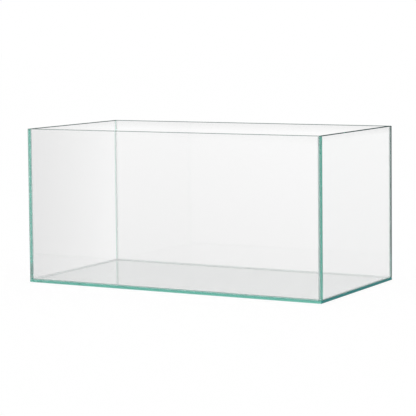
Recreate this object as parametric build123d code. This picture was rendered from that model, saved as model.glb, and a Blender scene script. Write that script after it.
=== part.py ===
"""Rimless glass aquarium: five panes of float glass glued edge to face, open at the top.

The front and back panes run the full length and cover the ends of the two end panes.
All four walls stand on the bottom pane, so its polished edge shows all the way round.
A thin line of silicone lies between each two panes, and a tooled bead of silicone
seals every inside corner. Millimetres, +Z up, origin at the centre of the underside.
+X runs along the tank's length and -Y is the front.
"""

from build123d import *
import os

# Overall size, outside
tank_length = 600.0
tank_depth = 310.0
tank_height = 287.0

# Glass
wall_glass = 5.0  # thickness of the four upright panes
base_glass = 5.0  # thickness of the bottom pane
arris = 0.5  # leg of the small polished chamfer on every glass edge

# Silicone between the panes
glue_gap = 0.5  # thickness of the glue line
glue_recess = 1.0  # how far the glue line stops short of the outer faces and the rim

# Silicone beads in the inside corners
seal_leg = 2.0  # how far a bead reaches over each of its two faces
seal_tool_radius = 5.0  # radius of the round tool that hollows a bead
seal_rim_gap = 2.0  # how far the upright beads stop below the rim

# Faces that several pieces share
half_length = tank_length / 2
half_depth = tank_depth / 2
inner_x = half_length - wall_glass  # inner face of an end pane
inner_y = half_depth - wall_glass  # inner face of the front or back pane
end_pane_y = inner_y - glue_gap  # where an end pane's upright edges stop
wall_foot = base_glass + glue_gap  # where the walls' lower edges start
floor_z = base_glass  # the floor of the tank, inside

ends = {"left": -1, "right": 1}
sides = {"front": -1, "back": 1}
up = Vector(0, 0, 1)


def block(xs, ys, zs):
    """A rectangular block between two values, in either order, on each axis."""
    low = [min(pair) for pair in (xs, ys, zs)]
    size = [max(pair) - min(pair) for pair in (xs, ys, zs)]
    return Pos(*low) * Box(*size, align=(Align.MIN, Align.MIN, Align.MIN))


def pane(xs, ys, zs):
    """A sheet of glass with a small polished chamfer, the arris, on all its edges."""
    sheet = block(xs, ys, zs)
    return chamfer(sheet.edges(), arris)


def glue_line(xs, ys, zs, *neighbours):
    """A strip of cured silicone that fills a block up to its neighbours' surfaces."""
    strip = block(xs, ys, zs)
    for piece in neighbours:
        strip = strip - piece
    return strip


def seal_bead(corner, leg_a, leg_b, run):
    """A bead in an inside corner: two equal legs, hollowed by a round tool, along a run."""
    across = Plane(origin=corner, x_dir=leg_a, z_dir=leg_a.cross(leg_b))
    foot_a = (seal_leg, 0)
    foot_b = (0, seal_leg)
    outline = (
        Line((0, 0), foot_a)
        + RadiusArc(foot_a, foot_b, -seal_tool_radius)
        + Line(foot_b, (0, 0))
    )
    section = across * make_face(outline)
    return extrude(section, amount=run.length, dir=run.normalized())


def glass_panes():
    """The bottom pane, the two long walls, and the two end walls between them."""
    panes = {
        "bottom_pane": pane(
            (-half_length, half_length), (-half_depth, half_depth), (0, base_glass)
        )
    }
    for name, side in sides.items():
        panes[f"{name}_pane"] = pane(
            (-half_length, half_length),
            (side * inner_y, side * half_depth),
            (wall_foot, tank_height),
        )
    for name, end in ends.items():
        panes[f"{name}_pane"] = pane(
            (end * inner_x, end * half_length),
            (-end_pane_y, end_pane_y),
            (wall_foot, tank_height),
        )
    return panes


def base_joints(panes):
    """The glue under each wall. It also fills the inner arris of the wall above it."""
    glue_top = wall_foot + arris
    joints = {}
    for name, side in sides.items():
        joints[f"{name}_base_joint"] = glue_line(
            (-half_length + glue_recess, half_length - glue_recess),
            (side * inner_y, side * (half_depth - glue_recess)),
            (base_glass, glue_top),
            panes[f"{name}_pane"],
        )
    for name, end in ends.items():
        joints[f"{name}_base_joint"] = glue_line(
            (end * inner_x, end * (half_length - glue_recess)),
            (-inner_y, inner_y),
            (base_glass, glue_top),
            panes[f"{name}_pane"],
        )
    return joints


def corner_joints(panes, joints):
    """The upright glue between a long wall's inner face and an end pane's edge."""
    made = {}
    for side_name, side in sides.items():
        for end_name, end in ends.items():
            made[f"{side_name}_{end_name}_corner_joint"] = glue_line(
                (end * inner_x, end * (half_length - glue_recess)),
                (side * (end_pane_y - arris), side * inner_y),
                (wall_foot, tank_height - glue_recess),
                panes[f"{end_name}_pane"],
                joints[f"{end_name}_base_joint"],
            )
    return made


def floor_seals():
    """The beads where the walls meet the floor. The long ones run right through."""
    seals = {}
    for name, side in sides.items():
        seals[f"{name}_floor_seal"] = seal_bead(
            Vector(-inner_x, side * inner_y, floor_z),
            Vector(0, -side, 0),
            up,
            Vector(2 * inner_x, 0, 0),
        )
    long_seals = list(seals.values())
    for name, end in ends.items():
        bead = seal_bead(
            Vector(end * inner_x, -inner_y, floor_z),
            Vector(-end, 0, 0),
            up,
            Vector(0, 2 * inner_y, 0),
        )
        for long_seal in long_seals:
            bead = bead - long_seal
        seals[f"{name}_floor_seal"] = bead
    return seals


def corner_seals(floor_beads):
    """The upright beads, which stand on the floor beads and stop short of the rim."""
    seals = {}
    seal_height = tank_height - seal_rim_gap - floor_z
    for side_name, side in sides.items():
        for end_name, end in ends.items():
            bead = seal_bead(
                Vector(end * inner_x, side * inner_y, floor_z),
                Vector(-end, 0, 0),
                Vector(0, -side, 0),
                seal_height * up,
            )
            bead = bead - floor_beads[f"{side_name}_floor_seal"]
            bead = bead - floor_beads[f"{end_name}_floor_seal"]
            seals[f"{side_name}_{end_name}_corner_seal"] = bead
    return seals


def main():
    """Builds every piece and writes one STEP file for each."""
    panes = glass_panes()
    joints = base_joints(panes)
    uprights = corner_joints(panes, joints)
    floor_beads = floor_seals()
    corner_beads = corner_seals(floor_beads)
    pieces = {**panes, **joints, **uprights, **floor_beads, **corner_beads}
    os.makedirs("parts", exist_ok=True)
    for name, piece in pieces.items():
        export_step(piece, f"parts/{name}.step")
    water = 4 * inner_x * inner_y * (tank_height - floor_z) / 1e6
    print(f"{len(pieces)} pieces, {water:.1f} litres to the rim")


main()
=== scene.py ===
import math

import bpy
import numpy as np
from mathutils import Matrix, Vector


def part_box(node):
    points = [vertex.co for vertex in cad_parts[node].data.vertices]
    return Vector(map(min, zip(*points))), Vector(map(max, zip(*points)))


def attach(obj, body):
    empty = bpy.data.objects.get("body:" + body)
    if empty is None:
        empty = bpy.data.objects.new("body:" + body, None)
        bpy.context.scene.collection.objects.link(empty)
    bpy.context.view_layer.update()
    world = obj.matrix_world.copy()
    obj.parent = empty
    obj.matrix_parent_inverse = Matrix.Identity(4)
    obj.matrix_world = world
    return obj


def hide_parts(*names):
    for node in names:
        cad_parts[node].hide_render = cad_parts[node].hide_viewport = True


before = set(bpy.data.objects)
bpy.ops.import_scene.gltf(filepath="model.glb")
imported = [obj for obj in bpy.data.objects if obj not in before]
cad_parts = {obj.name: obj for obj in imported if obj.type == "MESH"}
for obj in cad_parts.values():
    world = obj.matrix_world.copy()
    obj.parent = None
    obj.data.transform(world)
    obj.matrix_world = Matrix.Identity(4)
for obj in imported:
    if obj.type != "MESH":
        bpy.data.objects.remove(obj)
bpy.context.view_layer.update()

# %% [markdown]
# # A rimless glass aquarium
#
# The real tank is five sheets of float glass, glued edge to face, with clear silicone in
# every joint and a tooled bead of it in every inside corner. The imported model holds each
# sheet at its true size, with its polished arrises, so the sheets keep their meshes and
# get only their finish. The silicone is made again here, because real silicone wets the
# glass, and two clear solids that only touch would show a dark line between them.

scene = bpy.context.scene

# %% [markdown]
# ## Where the glass is
#
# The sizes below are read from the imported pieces, so the silicone follows the glass if the
# tank changes. The arris, the small bevel ground on each edge, isn't in a bounding box. It
# is the step between the two lowest levels of the bottom pane's corners. Only the radius
# of a bead's hollow isn't read: it is given as a multiple of the bead's leg.

# %% Sizes of the tank
_, base_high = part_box("bottom_pane")
end_low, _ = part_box("right_pane")
wall_low, wall_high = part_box("back_pane")
half_length = float(base_high[0])
half_depth = float(base_high[1])
floor_z = float(base_high[2])
inner_x = float(end_low[0])
inner_y = float(wall_low[1])
wall_foot = float(wall_low[2])
rim_z = float(wall_high[2])
wall_glass = half_depth - inner_y
glue_gap = wall_foot - floor_z

corner_points = np.empty(3 * len(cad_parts["bottom_pane"].data.vertices))
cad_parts["bottom_pane"].data.vertices.foreach_get("co", corner_points)
levels = np.unique(np.round(corner_points.reshape(-1, 3)[:, 2], 6))
arris = float(levels[1] - levels[0])

print("inside, mm", [round(1000 * v, 1) for v in (2 * inner_x, 2 * inner_y, rim_z - floor_z)])
print("glass, glue line and arris, mm", [round(1000 * v, 2) for v in (wall_glass, glue_gap, arris)])

# %% Sizes of the silicone
tool_to_leg = 2.5  # radius of the tool that hollows a bead, in legs of the bead
glue_recess = half_length - float(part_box("front_base_joint")[1][0])
bead_low, bead_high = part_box("front_left_corner_seal")
bead_leg = float(bead_high[0] - bead_low[0])
bead_top = float(bead_high[2])
bead_radius = tool_to_leg * bead_leg

print("glue stops short by, mm", round(1000 * glue_recess, 2))
print("bead leg and top, mm", [round(1000 * v, 2) for v in (bead_leg, bead_top)])

# %% [markdown]
# ## The camera
#
# The camera stands to the right of the front face, a little above the rim, with a long
# lens, so the tank's edges stay nearly parallel. Its place comes from a fit to the tank's
# edges in the picture. The small shift lets the camera look less steeply down, so the
# upright edges lean less.

# %% Camera
camera_place = Vector((1.5406, -2.8110, 0.4759))
camera_yaw = math.radians(28.769)
camera_pitch = math.radians(-4.117)
camera_roll = math.radians(-0.553)
lens_mm = 149.90
sensor_mm = 36.0
lens_shift = -0.14


def look(yaw, pitch, roll):
    """A camera's turn: yaw to the left from +Y, pitch upwards, roll about the view line."""
    ahead = Vector((
        -math.sin(yaw) * math.cos(pitch),
        math.cos(yaw) * math.cos(pitch),
        math.sin(pitch),
    ))
    right = Vector((math.cos(yaw), math.sin(yaw), 0))
    above = right.cross(ahead)
    right_rolled = right * math.cos(roll) + above * math.sin(roll)
    above_rolled = above * math.cos(roll) - right * math.sin(roll)
    return Matrix((right_rolled, above_rolled, -ahead)).transposed()


lens = bpy.data.cameras.new("camera")
lens.lens = lens_mm
lens.sensor_width = sensor_mm
lens.shift_y = lens_shift
camera = bpy.data.objects.new("camera", lens)
turn = look(camera_yaw, camera_pitch, camera_roll).to_4x4()
camera.matrix_world = Matrix.Translation(camera_place) @ turn
scene.collection.objects.link(camera)
scene.camera = camera
print("camera to tank, m", round(camera_place.length, 2))

# %% [markdown]
# ## Shader maths
#
# A finish is easier to read as a formula than as a row of nodes. The first class wraps a
# shader socket, so that plus, minus and times add their Math nodes. The second holds a
# material's tree and has one method that adds any other node.


# %% Sockets and trees
class Socket:
    """A shader socket that can be used in Python arithmetic with sockets and numbers."""

    def __init__(self, tree, value):
        self.tree = tree
        self.value = value

    def math(self, operation, other, swapped=False):
        """Adds a Math node on this socket and another socket or number."""
        pair = (other, self) if swapped else (self, other)
        return self.tree.node("Math", {"operation": operation}, pair)

    def __add__(self, other):
        return self.math("ADD", other)

    def __sub__(self, other):
        return self.math("SUBTRACT", other)

    def __rsub__(self, other):
        return self.math("SUBTRACT", other, swapped=True)

    def __mul__(self, other):
        return self.math("MULTIPLY", other)

    def __gt__(self, other):
        return self.math("GREATER_THAN", other)

    def __lt__(self, other):
        return self.math("LESS_THAN", other)

    def __abs__(self):
        return self.math("ABSOLUTE", 0.0)

    __radd__ = __add__
    __rmul__ = __mul__


class Tree:
    """A node tree, with one method that adds any node."""

    def __init__(self, owner):
        owner.use_nodes = True
        self.tree = owner.node_tree
        self.tree.nodes.clear()

    def node(self, kind, settings=None, inputs=(), output=0):
        """Adds a node, sets it up, then sets or links its sockets, by index or by name."""
        made = self.tree.nodes.new("ShaderNode" + kind)
        for key, value in (settings or {}).items():
            setattr(made, key, value)
        pairs = inputs.items() if isinstance(inputs, dict) else enumerate(inputs)
        for key, value in pairs:
            if isinstance(value, Socket):
                self.tree.links.new(value.value, made.inputs[key])
            else:
                made.inputs[key].default_value = value
        return Socket(self, made.outputs[output]) if made.outputs else None

    def mix(self, share, first, second):
        """first where share is 0, second where it is 1; both are colours."""
        return self.node("Mix", {"data_type": "RGBA"}, {0: share, 6: first, 7: second}, 2)


# %% [markdown]
# ## The glass
#
# Float glass is clear through its thickness and green along it, because light that goes
# the long way meets far more iron. So the body gets a true absorption per metre, which
# leaves the broad faces clear and turns the edges teal. Two close green tints on the edges,
# mixed by the waves of the polish, make up the rest of their colour. Which face is which is
# read from the face's direction: the broad faces look along the sheet's thin axis, and all
# others are edges. A polishing belt leaves edges very slightly hazy and wavy, so they get a
# little roughness and a faint bump. Both blend what an edge shows from deep inside the
# sheet to one even teal.

# %% Glass values
glass_ior = 1.52
absorb_colour = (0.20, 0.7625, 0.7625, 1.0)
absorb_density = 4.0  # per metre, times one minus the colour
edge_roughness = 0.12
wave_scale = 60.0  # belt waves, per metre
wave_detail = 2.0  # finer waves on those, in octaves
wall_edges = ((0.40, 0.79, 0.64, 1.0), (0.44, 0.83, 0.68, 1.0), 0.00001)
base_edges = ((0.38, 0.66, 0.53, 1.0), (0.48, 0.76, 0.61, 1.0), 0.00003)
straight = 0.9  # how nearly a face must look along the thin axis to count as broad

# %% [markdown]
# ## Painted shade on faces, rims, feet and ends
#
# A grey tint painted on the broad faces dims what is seen through a sheet, here by about a
# sixth at most. It is painted shade for the uneven reflections of the room, not a film on
# the glass. It fades towards the back of the left pane, the right of the front pane and the
# top of the back pane, and comes back near the rim. Not every edge gets the same polish
# either. The rims are only ground smooth, the left pane's foot stands in the glue
# unpolished, and the right ends of the long sheets keep a satin look. A matt share dims
# each of these, and its near-black or dark teal colour is painted shade.

# %% Values of film, rims, feet and ends
# Broad-face tints with no painted shade and with the full grey painted shade
unshaded_tint = (0.998, 0.986, 0.986, 1.0)
painted_shade_tint = (0.802, 0.790, 0.790, 1.0)
# Painted shade: the bottom pane's broad faces are evenly darkened
base_shade_tint = (0.745, 0.745, 0.742, 1.0)
rim_shade_start = 0.93  # height where the rim's painted shade starts, as a share of the rim's
# Painted shade: near-black colour of a ground rim's matt share
rim_shade_colour = (0.04, 0.07, 0.07, 1.0)
# Painted shade: dark teal colour of the unpolished foot's matt share
foot_shade_colour = (0.01, 0.15, 0.14, 1.0)
end_cover = 0.98  # share of the arris beside a right end that is matt and shaded with it
foot_cover = 0.1  # share of the arris above a matt foot that is matt and painted dark too


def painted_shade_on(place, everywhere=0.0, leftward=0.0, forward=0.0, downward=0.0, at_rim=0.5):
    """The painted shade's strength: everywhere, plus each amount times the share of the way there.

    leftward counts from the right end, forward from the back and downward from the rim. At
    the rim the strength is at_rim or more.
    """
    x, y, z = (place.tree.node("SeparateXYZ", None, [place], axis) for axis in "XYZ")
    strength = everywhere + leftward * (half_length - x) * (0.5 / half_length)
    strength = strength + forward * (half_depth - y) * (0.5 / half_depth)
    strength = strength + downward * (1 - z * (1 / rim_z))
    near_rim = place.tree.node("MapRange", {"interpolation_type": "SMOOTHSTEP"}, {
        "Value": z, "From Min": rim_shade_start * rim_z, "From Max": rim_z,
        "To Min": 0.0, "To Max": at_rim,
    })
    return strength.math("MAXIMUM", near_rim)


# %% Glass
def glass(name, thin_axis, edges, end, painted_shade=None, rim=None):
    """Float glass: clear broad faces, wavy teal edges, and a body that absorbs.

    edges is two tints and the height of the waves in metres. end is the painted-shade colour
    and the matt share of a long sheet's right end; an end pane has none. painted_shade holds
    the amounts for painted_shade_on, a grey painted shade on the broad faces. rim is how matt
    a wall's rim is, how far down it is ground in metres, and how matt the foot is; their
    colours are painted shade. The bottom pane has no graded shade and no rim, but
    base_shade_tint, an even painted shade.
    """
    *tints, wave_height = edges
    material = bpy.data.materials.new(name)
    tree = Tree(material)
    facing = tree.node("TexCoord", output="Normal")
    place = tree.node("TexCoord", output="Object")
    along, height = (tree.node("SeparateXYZ", None, [place], axis) for axis in "XZ")
    broad = abs(tree.node("SeparateXYZ", None, [facing], thin_axis)) > straight
    waves = tree.node("TexNoise", None, {
        "Vector": place,
        "Scale": wave_scale,
        "Detail": wave_detail,
    })
    # Painted shade: the broad faces are greyed by position, for uneven reflections
    broad_tint = tree.mix(painted_shade_on(place, **painted_shade), unshaded_tint, painted_shade_tint) if painted_shade else base_shade_tint
    bumped = tree.node("Bump", None, {"Height": waves * (1 - broad), "Distance": wave_height})
    surface = tree.node("BsdfPrincipled", None, {
        "Base Color": tree.mix(broad, tree.mix(waves, *tints), broad_tint),
        "Roughness": (1 - broad) * edge_roughness,
        "IOR": glass_ior,
        "Transmission Weight": 1.0,
        "Normal": bumped,
    })
    # Painted shade: the matt share darkens right ends, rims and feet with dark colours
    shade = rim_shade_colour
    share = 0.0
    if end:
        shade, end_share = end
        share = (along > half_length - end_cover * arris) * end_share
    if rim:
        rim_share, rim_ground, foot_share = rim
        top = height > rim_z - rim_ground
        foot = (height < wall_foot + foot_cover * arris) * (1 - broad)
        shade = tree.mix(top, tree.mix(foot, shade, foot_shade_colour), rim_shade_colour)
        share = (top * rim_share + foot * foot_share).math("MAXIMUM", share)
    matt = tree.node("BsdfPrincipled", None, {
        "Base Color": shade,
        "Roughness": 1.0,
        "Specular IOR Level": 0.0,
    })
    surface = tree.node("MixShader", None, [share, surface, matt])
    body = tree.node("VolumeAbsorption", None, {
        "Color": absorb_colour,
        "Density": absorb_density,
    })
    tree.node("OutputMaterial", None, {"Surface": surface, "Volume": body})
    return material


# %% A finish for each pane
# Right ends: the matt share stands for a satin polish, its dark colour is painted shade
shaded_back_end = ((0.05, 0.10, 0.10, 1.0), 0.78)
shaded_front_end = ((0.09, 0.38, 0.31, 1.0), 0.60)
shaded_base_end = ((0.02, 0.19, 0.19, 1.0), 0.78)
# Each wall's thin axis, right end, amounts of painted shade, and rim with foot
walls = {
    "front_pane": ("Y", shaded_front_end, {"leftward": 0.22, "at_rim": 0.2}, (0.5, 0.0010, 0.0)),
    "back_pane": ("Y", shaded_back_end, {"downward": 0.42}, (0.7, 0.0010, 0.0)),
    "left_pane": ("X", None, {"forward": 0.80, "downward": 0.08}, (0.75, 0.0012, 1.0)),
    "right_pane": ("X", None, {"everywhere": 0.17, "downward": 0.05}, (0.98, 0.0012, 0.0)),
}
finishes = {"bottom_pane": glass("bottom_glass", "Z", base_edges, shaded_base_end)}
for name, (thin_axis, end, painted_shade, rim) in walls.items():
    finish_name = name.replace("pane", "glass")
    finishes[name] = glass(finish_name, thin_axis, wall_edges, end, painted_shade, rim)
for name, finish in finishes.items():
    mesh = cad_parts[name].data
    mesh.materials.clear()
    mesh.materials.append(finish)
print("panes finished", len(finishes))

# %% [markdown]
# ## The silicone
#
# Aquarium silicone cures to a soft, slightly milky rubber that bends light less than glass
# does. In a glue line it is so thin that it looks clear. A bead is thick enough for the
# milkiness to scatter most of the light that meets it, part of it back and part of it on
# into the glass, so it shows as a pale line from both sides. The skin is smooth but not
# polished, so it has a little roughness.


# %% Silicone
silicone_ior = 1.41
passed_on = 0.3  # share of the scattered light that comes out on the far side


def silicone(name, tint, roughness, clearness):
    """Cured silicone: clearness is the share of light that goes through unscattered."""
    material = bpy.data.materials.new(name)
    tree = Tree(material)
    skin = tree.node("BsdfPrincipled", None, {
        "Base Color": tint,
        "Roughness": roughness,
        "IOR": silicone_ior,
        "Transmission Weight": 1.0,
    })
    back = tree.node("BsdfDiffuse", None, {"Color": tint})
    onwards = tree.node("BsdfTranslucent", None, {"Color": tint})
    milk = tree.node("MixShader", None, [passed_on, back, onwards])
    tree.node("OutputMaterial", None, {
        "Surface": tree.node("MixShader", None, [1 - clearness, skin, milk]),
    })
    return material


thin_silicone = silicone(
    "thin_silicone", tint=(0.97, 0.97, 0.97, 1.0), roughness=0.02, clearness=1.0
)
milky_silicone = silicone(
    "milky_silicone", tint=(0.99, 0.99, 0.99, 1.0), roughness=0.10, clearness=0.2
)
print("silicones", [thin_silicone.name, milky_silicone.name])

# %% [markdown]
# ## Carrying a section along a run
#
# Glue lines and beads are both one section carried along a straight run. A ring is the
# section at one station of the run. All rings together are one array, and the faces
# between them come from the array's indices, with a cap at each end. The signed volume
# tells whether the faces look outwards, and turns them round if they don't.

# %% Rings and lofts
wet = 0.00005  # how far silicone reaches into the glass it wets
crease = math.radians(35)  # edges sharper than this stay sharp
x_axis, y_axis, z_axis = np.eye(3)


def rings_along(section, corner, axis_a, axis_b, run_axis, starts, stops, swell=(1, 1)):
    """corner + swell * (a * axis_a + b * axis_b) + distance * run_axis, for each station.

    The distance of each point goes in even steps from its own start to its own stop, and
    swell has one factor for each station, which thickens or thins the section there.
    """
    swell = np.asarray(swell, float)[:, None, None]
    share = np.linspace(0, 1, len(swell))[:, None]
    across = section[:, :1] * axis_a + section[:, 1:] * axis_b
    along = (1 - share) * starts + share * stops
    return np.array(corner) + swell * across + along[..., None] * run_axis


def loft(name, rings, node, finish):
    """A closed piece from rings: an array of stations by points by 3, with capped ends."""
    stations, count, _ = rings.shape
    at = np.arange(stations * count).reshape(stations, count)
    around = np.roll(at, -1, axis=1)
    sides = np.stack([at[:-1], around[:-1], around[1:], at[1:]], axis=-1).reshape(-1, 4)
    faces = sides.tolist() + [at[0, ::-1].tolist(), at[-1].tolist()]
    a, b, c, d = (rings.reshape(-1, 3)[sides[:, i]] for i in range(4))
    middle = (a + b + c + d) / 4
    volume = np.einsum("ij,ij->i", middle, np.cross(c - a, d - b)).sum()
    if volume < 0:
        faces = [face[::-1] for face in faces]
    mesh = bpy.data.meshes.new(name)
    mesh.from_pydata(rings.reshape(-1, 3).tolist(), [], faces)
    mesh.materials.append(finish)
    mesh.shade_smooth()
    mesh.set_sharp_from_angle(angle=crease)
    mesh.update()
    piece = bpy.data.objects.new(name, mesh)
    scene.collection.objects.link(piece)
    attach(piece, "root")
    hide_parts(node)


# %% [markdown]
# ## The glue lines
#
# The glue between two panes is squeezed to a thin strip. On the tank's inside it also
# fills the small notch that the wall's arris leaves. On the outside it stops short of the
# face, where the maker wiped it back. Up the corners it wets both panes. Under a wall it
# stays a hair below the foot, so that light in the wall meets the foot's own finish first.

# %% Section of a glue line
glue_outer = wall_glass - glue_recess
slant = arris + wet * math.sqrt(2)


def glue_section(reach):
    """A strip with its inner top corner cut for the arris; its top reaches into the pane."""
    top = glue_gap + reach
    notch = glue_gap + slant
    return np.array([
        (wet / 2, -wet),
        (glue_outer, -wet),
        (glue_outer, top),
        (notch - top, top),
        (wet / 2, notch - wet / 2),
    ])


upright_glue = glue_section(wet)
base_glue = glue_section(-wet / 2)
sides = {"front": -1, "back": 1}
ends = {"left": -1, "right": 1}

# %% Glue lines
glued = 0
for side_name, side in sides.items():
    reach = half_length - glue_recess
    strip = rings_along(
        base_glue, (0, side * inner_y, floor_z), side * y_axis, z_axis, x_axis, -reach, reach
    )
    loft(f"{side_name}_base_glue", strip, f"{side_name}_base_joint", thin_silicone)
    glued += 1
for end_name, end in ends.items():
    reach = inner_y + wet / 2
    strip = rings_along(
        base_glue, (end * inner_x, 0, floor_z), end * x_axis, z_axis, y_axis, -reach, reach
    )
    loft(f"{end_name}_base_glue", strip, f"{end_name}_base_joint", thin_silicone)
    glued += 1
    for side_name, side in sides.items():
        strip = rings_along(
            upright_glue, (end * inner_x, side * inner_y, 0), end * x_axis, -side * y_axis,
            z_axis, wall_foot - wet, rim_z - glue_recess,
        )
        name = f"{side_name}_{end_name}_corner"
        loft(f"{name}_glue", strip, f"{name}_joint", thin_silicone)
        glued += 1
print("glue lines", glued)

# %% [markdown]
# ## The beads
#
# A second run of silicone seals each inside corner. The maker draws a round tool along
# it, which leaves a hollow face. A hand never moves quite evenly, so the bead swells and
# thins a little along its run, and comes back to its true size at both ends, where it
# meets its neighbours in a mitre.

# %% Section and swell of a bead
arc_points = 9
station_pitch = 0.005
swell_share = 0.05  # most that the section grows or shrinks
swell_fade = 0.5  # power of the sine that fades the swell at both ends
hand_waves = np.array([2.0, 3.0, 5.0, 9.0])  # cycles in each hand_span of a run
hand_span = 0.3
long_seed, short_seed, upright_seed = 0, 10, 20  # each run adds its own number to one
tool_centre = bead_leg / 2 + math.sqrt(bead_radius ** 2 - bead_leg ** 2 / 2) / math.sqrt(2)


def hollow(a):
    """Height of the hollow face at distance a from the wall: a circle about the tool."""
    inside = np.clip(a, 0, bead_leg)
    return tool_centre - np.sqrt(bead_radius ** 2 - (tool_centre - inside) ** 2)


def hand(length, seed):
    """Swell at each station: a few slow waves with random phases, faded out at both ends."""
    count = round(length / station_pitch)
    share = np.linspace(0, 1, count)
    phases = np.random.default_rng(seed).uniform(0, 2 * math.pi, len(hand_waves))
    cycles = hand_waves * length / hand_span
    waves = np.sin(2 * math.pi * cycles * share[:, None] + phases).mean(axis=1)
    return 1 + swell_share * waves * np.sin(math.pi * share) ** swell_fade


bead_steps = np.linspace(bead_leg, 0, arc_points)
bead_arc = np.stack([bead_steps, hollow(bead_steps)], axis=1)
bead = np.vstack([[(-wet, -wet), (bead_leg, -wet)], bead_arc, [(-wet, bead_leg)]])
mitre = np.clip(bead[:, 0], 0, None) - wet
print("bead throat, mm", round(1000 * float(np.min(np.hypot(*bead_arc.T))), 2))

# %% Beads round the floor
for number, (side_name, side) in enumerate(sides.items()):
    run = rings_along(
        bead, (0, side * inner_y, floor_z), -side * y_axis, z_axis, x_axis,
        mitre - inner_x, inner_x - mitre, hand(2 * inner_x, long_seed + number),
    )
    loft(f"{side_name}_floor_bead", run, f"{side_name}_floor_seal", milky_silicone)
for number, (end_name, end) in enumerate(ends.items()):
    run = rings_along(
        bead, (end * inner_x, 0, floor_z), -end * x_axis, z_axis, y_axis,
        mitre - inner_y, inner_y - mitre, hand(2 * inner_y, short_seed + number),
    )
    loft(f"{end_name}_floor_bead", run, f"{end_name}_floor_seal", milky_silicone)
print("floor beads", len(sides) + len(ends))

# %% Beads up the corners
feet = floor_z + hollow(np.minimum(bead[:, 0], bead[:, 1])) - wet
tops = np.full(len(bead), bead_top)
for end_name, end in ends.items():
    for number, (side_name, side) in enumerate(sides.items()):
        swell = hand(bead_top - floor_z, upright_seed + 2 * end + number)
        run = rings_along(
            bead, (end * inner_x, side * inner_y, 0), -end * x_axis, -side * y_axis, z_axis,
            feet, tops, swell,
        )
        name = f"{side_name}_{end_name}_corner"
        loft(f"{name}_bead", run, f"{name}_seal", milky_silicone)
print("corner beads", len(sides) * len(ends))

# %% [markdown]
# ## Floor and light
#
# Clear glass shows only what is round it. A white sheet under an even white sky gives it
# the plain white to show, and every bit of colour that is left is the glass's own. The
# sheet lies a hair below the tank, so that the two faces don't fight.

# %% Floor
floor_reach = 20.0  # half of the sheet's side
floor_drop = 0.0003
floor_white = 0.99
floor_glow = 0.85  # share of plain white in what the eye sees of the sheet
square = floor_reach * np.array([(-1, -1), (1, -1), (1, 1), (-1, 1)])
mesh = bpy.data.meshes.new("sheet")
mesh.from_pydata([(x, y, -floor_drop) for x, y in square], [], [(0, 1, 2, 3)])
sheet = bpy.data.objects.new("sheet", mesh)
scene.collection.objects.link(sheet)
paper = bpy.data.materials.new("paper")
tree = Tree(paper)
matt = tree.node("BsdfDiffuse", None, {"Color": (floor_white, floor_white, floor_white, 1.0)})
glow = tree.node("Emission", None, {"Color": (1.0, 1.0, 1.0, 1.0), "Strength": 1.0})
looked_at = tree.node("LightPath", output="Is Camera Ray")
for kind in ("Glossy", "Transmission"):
    ray = tree.node("LightPath", output=f"Is {kind} Ray")
    looked_at = looked_at.math("MAXIMUM", ray)
tree.node("OutputMaterial", None, {
    "Surface": tree.node("MixShader", None, [looked_at * floor_glow, matt, glow]),
})
mesh.materials.append(paper)

# %% Light
world = bpy.data.worlds.new("sky")
scene.world = world
tree = Tree(world)
sky = tree.node("Background", None, {"Color": (1.0, 1.0, 1.0, 1.0), "Strength": 1.0})
tree.node("OutputWorld", None, {"Surface": sky})
scene.view_settings.view_transform = "Standard"

# %% [markdown]
# ## How far light is followed
#
# Light that enters the end of a pane bounces down its whole length, dozens of times, and
# comes out teal. If it is dropped after a few bounces, the edges turn black. Cycles also
# blurs gloss for light that has already met something matt, to save noise. Glass would
# lose light that way and darken the floor round the tank, so the blur is off.

# %% Bounces
glass_bounces = 64
scene.cycles.max_bounces = glass_bounces
scene.cycles.transmission_bounces = glass_bounces
scene.cycles.glossy_bounces = glass_bounces
scene.cycles.blur_glossy = 0.0
